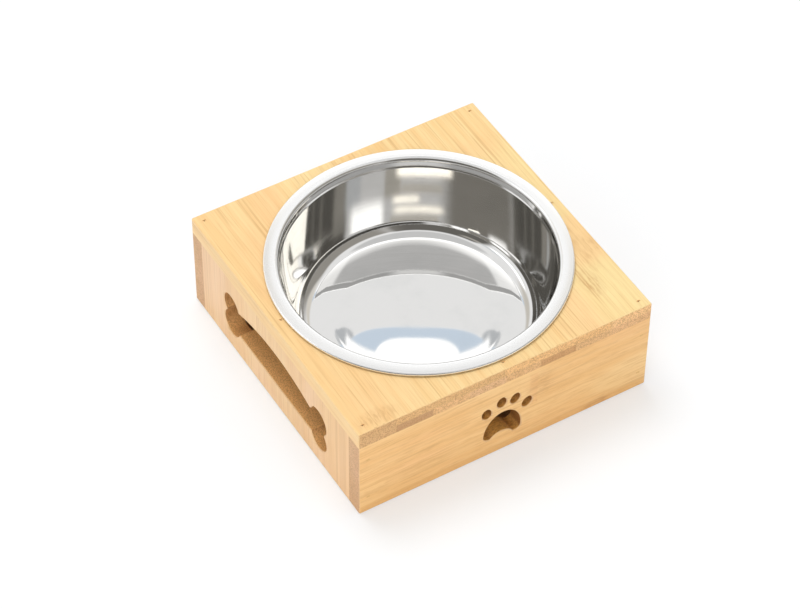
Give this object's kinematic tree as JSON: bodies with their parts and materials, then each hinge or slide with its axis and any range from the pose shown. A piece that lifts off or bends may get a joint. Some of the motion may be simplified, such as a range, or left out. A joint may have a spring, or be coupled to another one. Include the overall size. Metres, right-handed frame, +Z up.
{
  "type": "dog bowl with stand",
  "caption": "Low square bamboo stand that holds a lift-out polished steel feeding bowl in a round hole, with bone-shaped hand holes in its sides and a paw cut-out in front.",
  "frame": {"origin": "on the ground, under the centre of the stand", "axes": "+Z up, +X to the right along the front board, +Y to the back, with the paw cut-out on -Y"},
  "size_m": [0.17, 0.17, 0.0624],
  "materials": {
    "polished_steel": "polished",
    "bamboo_top": "clear satin lacquer",
    "bamboo_wall": "clear satin lacquer",
    "bamboo_side": "clear satin lacquer",
    "nail_steel": "dull, darkened"
  },
  "bodies": {
    "stand": {"top_board": "bamboo_top", "front_board": "bamboo_wall", "back_board": "bamboo_wall", "left_board": "bamboo_side", "right_board": "bamboo_side", "top_nails": "nail_steel", "front_nails": "nail_steel", "back_nails": "nail_steel"},
    "bowl": {"bowl": "polished_steel"}
  },
  "joints": [
    {"name": "bowl_lift", "type": "slide", "parent": "stand", "child": "bowl", "axis": [0, 0, 1], "range_m": [0, 0.06]}
  ]
}
